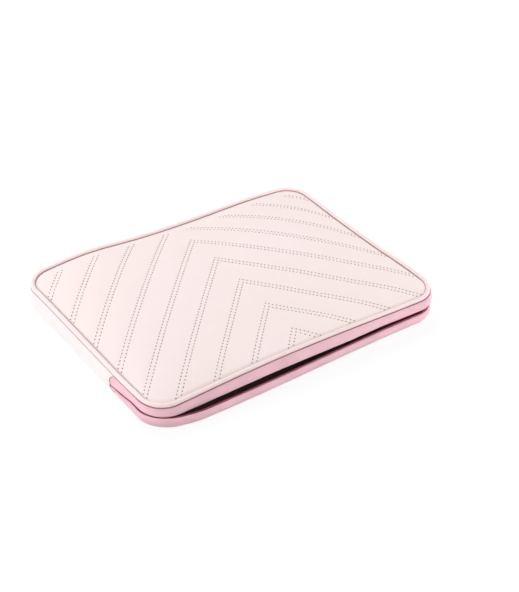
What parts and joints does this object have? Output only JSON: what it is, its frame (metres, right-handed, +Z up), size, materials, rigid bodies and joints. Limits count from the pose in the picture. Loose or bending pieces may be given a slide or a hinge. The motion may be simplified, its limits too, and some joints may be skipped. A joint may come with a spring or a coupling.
{
  "type": "laptop sleeve",
  "caption": "Padded laptop sleeve with a crowned quilted lid panel, corded piping, a wall all round and a zip mouth along the front that wraps onto both sides.",
  "frame": {"origin": "middle of the flat face that the sleeve rests on", "axes": "+X along the long edge to the right, -Y out of the mouth, +Z up"},
  "size_m": [0.3646, 0.2732, 0.0403],
  "materials": {
    "panel_skin": "matt faux leather, fine grain",
    "piping_skin": "matt faux leather, rolled",
    "wall_skin": "matt faux leather",
    "band_cloth": "fine plain weave",
    "zip_tape": "herringbone tape",
    "zip_coil": "moulded coil",
    "lining_cloth": "brushed lining",
    "padding": "closed-cell foam and cord",
    "zip_metal": "pale gold plating"
  },
  "bodies": {
    "base": {"bottom_cover": "wall_skin", "bottom_foam": "padding", "bottom_lining": "lining_cloth", "bottom_binding": "band_cloth", "rear_gusset": "wall_skin", "rear_gusset_lining": "lining_cloth", "rear_binding": "band_cloth", "rear_top_cover": "panel_skin", "rear_top_foam": "padding", "rear_top_lining": "lining_cloth", "rear_piping_skin": "piping_skin", "rear_piping_cord": "padding", "lower_zip_band": "band_cloth", "lower_zip_tape": "zip_tape", "lower_zip_coil": "zip_coil", "zip_end_tab_left": "band_cloth", "zip_end_tab_right": "band_cloth", "zip_bottom_stop": "zip_metal", "zip_top_stop_lower": "zip_metal"},
    "front_lip": {"lip_top_cover": "panel_skin", "lip_top_foam": "padding", "lip_top_lining": "lining_cloth", "lip_piping_skin": "piping_skin", "lip_piping_cord": "padding", "lip_binding": "band_cloth", "upper_zip_band": "band_cloth", "upper_zip_tape": "zip_tape", "upper_zip_coil": "zip_coil", "zip_top_stop_upper": "zip_metal"},
    "slider": {"zip_slider": "zip_metal"},
    "pull": {"zip_pull": "zip_metal"}
  },
  "joints": [
    {"name": "mouth_flex", "type": "hinge", "parent": "base", "child": "front_lip", "pos_m": [0, -0.056, 0.03908], "axis": [-1, 0, 0], "range_deg": [-3, 20], "stiffness_Nm_per_rad": 0.6, "springref_deg": 1.6},
    {"name": "zip_slide", "type": "slide", "parent": "base", "child": "slider", "axis": [0, -1, 0], "range_m": [0, 0.03]},
    {"name": "pull_swing", "type": "hinge", "parent": "slider", "child": "pull", "pos_m": [0.1826, -0.06435, 0.0136], "axis": [0, 0, -1], "range_deg": [0, 180]}
  ]
}
